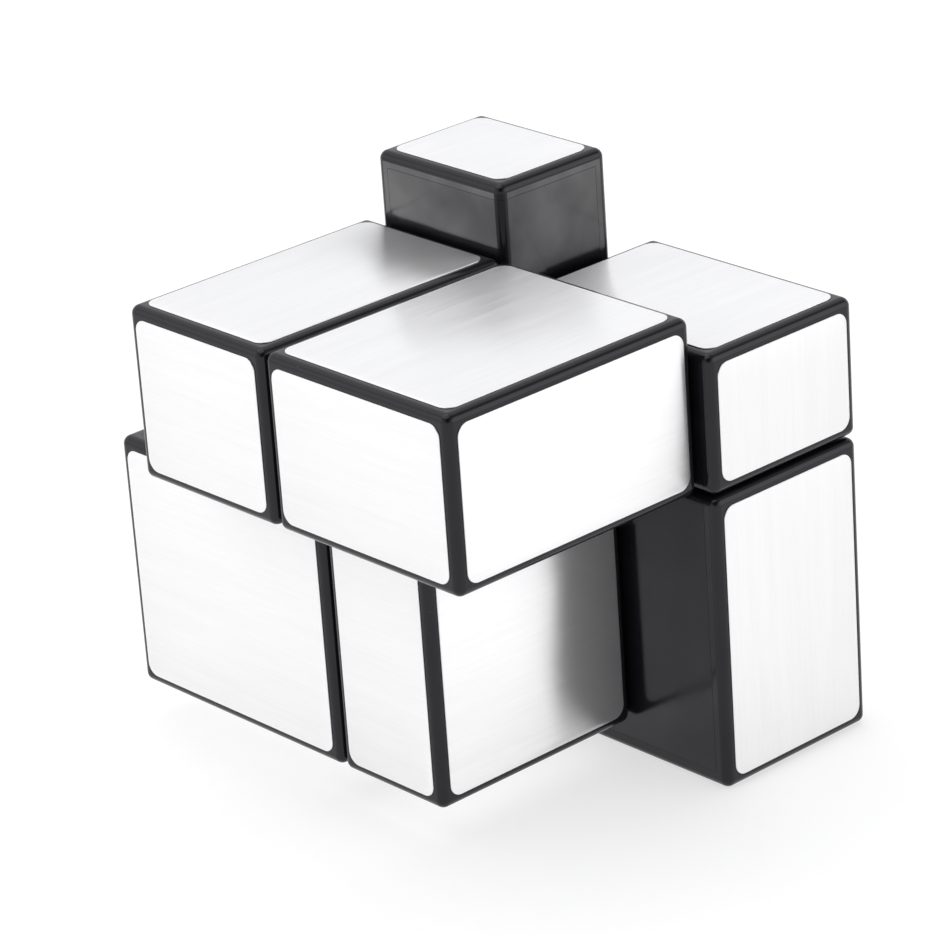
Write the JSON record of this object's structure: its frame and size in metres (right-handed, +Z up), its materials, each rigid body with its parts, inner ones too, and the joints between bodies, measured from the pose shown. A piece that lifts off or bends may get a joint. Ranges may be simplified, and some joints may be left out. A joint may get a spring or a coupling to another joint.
{
  "type": "twisty puzzle cube",
  "caption": "Twisty puzzle with unequal layers, shown mixed up: silver-foiled black blocks of different sizes turn on a hidden ball.",
  "frame": {"origin": "under the middle of the puzzle's box, on the level of its lowest foil", "axes": "each axis is one of the puzzle's three turning directions: +X right side, -Y front, +Z up along the top layer's turning axis"},
  "size_m": [0.064, 0.056, 0.062],
  "materials": {
    "black_gloss_plastic": "moulded black plastic, glossy",
    "brushed_foil": "bright silver foil, brushed in one direction",
    "white_plastic": "moulded off-white plastic, smooth and hidden",
    "screw_steel": "plated steel",
    "spring_steel": "bright drawn wire"
  },
  "bodies": {
    "lower_half": {"base_left_back_bottom": "black_gloss_plastic", "base_left_front_bottom": "black_gloss_plastic", "base_right_back_bottom": "black_gloss_plastic", "base_right_front_bottom": "black_gloss_plastic", "cap_front": "white_plastic", "cap_right": "white_plastic", "core": "white_plastic", "cover_left_back_bottom": "black_gloss_plastic", "cover_left_front_bottom": "black_gloss_plastic", "cover_right_back_bottom": "black_gloss_plastic", "cover_right_front_bottom": "black_gloss_plastic", "edge_front_bottom": "white_plastic", "edge_left_front": "white_plastic", "edge_right_back": "white_plastic", "edge_right_bottom": "white_plastic", "edge_right_front": "white_plastic", "foil_left_back_bottom_back": "brushed_foil", "foil_left_back_bottom_bottom": "brushed_foil", "foil_left_back_bottom_left": "brushed_foil", "foil_left_front_bottom_bottom": "brushed_foil", "foil_left_front_bottom_front": "brushed_foil", "foil_left_front_bottom_left": "brushed_foil", "foil_right_back_bottom_back": "brushed_foil", "foil_right_back_bottom_bottom": "brushed_foil", "foil_right_back_bottom_right": "brushed_foil", "foil_right_front_bottom_bottom": "brushed_foil", "foil_right_front_bottom_front": "brushed_foil", "foil_right_front_bottom_right": "brushed_foil", "screw_front": "screw_steel", "screw_right": "screw_steel", "screw_top": "screw_steel", "spring_front": "spring_steel", "spring_right": "spring_steel", "spring_top": "spring_steel"},
    "top_layer": {"base_left_back_top": "black_gloss_plastic", "base_left_front_top": "black_gloss_plastic", "base_right_back_top": "black_gloss_plastic", "base_right_front_top": "black_gloss_plastic", "cap_top": "white_plastic", "cover_left_back_top": "black_gloss_plastic", "cover_left_front_top": "black_gloss_plastic", "cover_right_back_top": "black_gloss_plastic", "cover_right_front_top": "black_gloss_plastic", "edge_back_top": "white_plastic", "edge_front_top": "white_plastic", "edge_left_top": "white_plastic", "edge_right_top": "white_plastic", "foil_left_back_top_back": "brushed_foil", "foil_left_back_top_left": "brushed_foil", "foil_left_back_top_top": "brushed_foil", "foil_left_front_top_front": "brushed_foil", "foil_left_front_top_left": "brushed_foil", "foil_left_front_top_top": "brushed_foil", "foil_right_back_top_back": "brushed_foil", "foil_right_back_top_right": "brushed_foil", "foil_right_back_top_top": "brushed_foil", "foil_right_front_top_front": "brushed_foil", "foil_right_front_top_right": "brushed_foil", "foil_right_front_top_top": "brushed_foil"}
  },
  "joints": [
    {"name": "top_layer_turn", "type": "hinge", "parent": "lower_half", "child": "top_layer", "pos_m": [0.002, 0.006, 0.034], "axis": [0, 0, 1], "continuous": true}
  ]
}
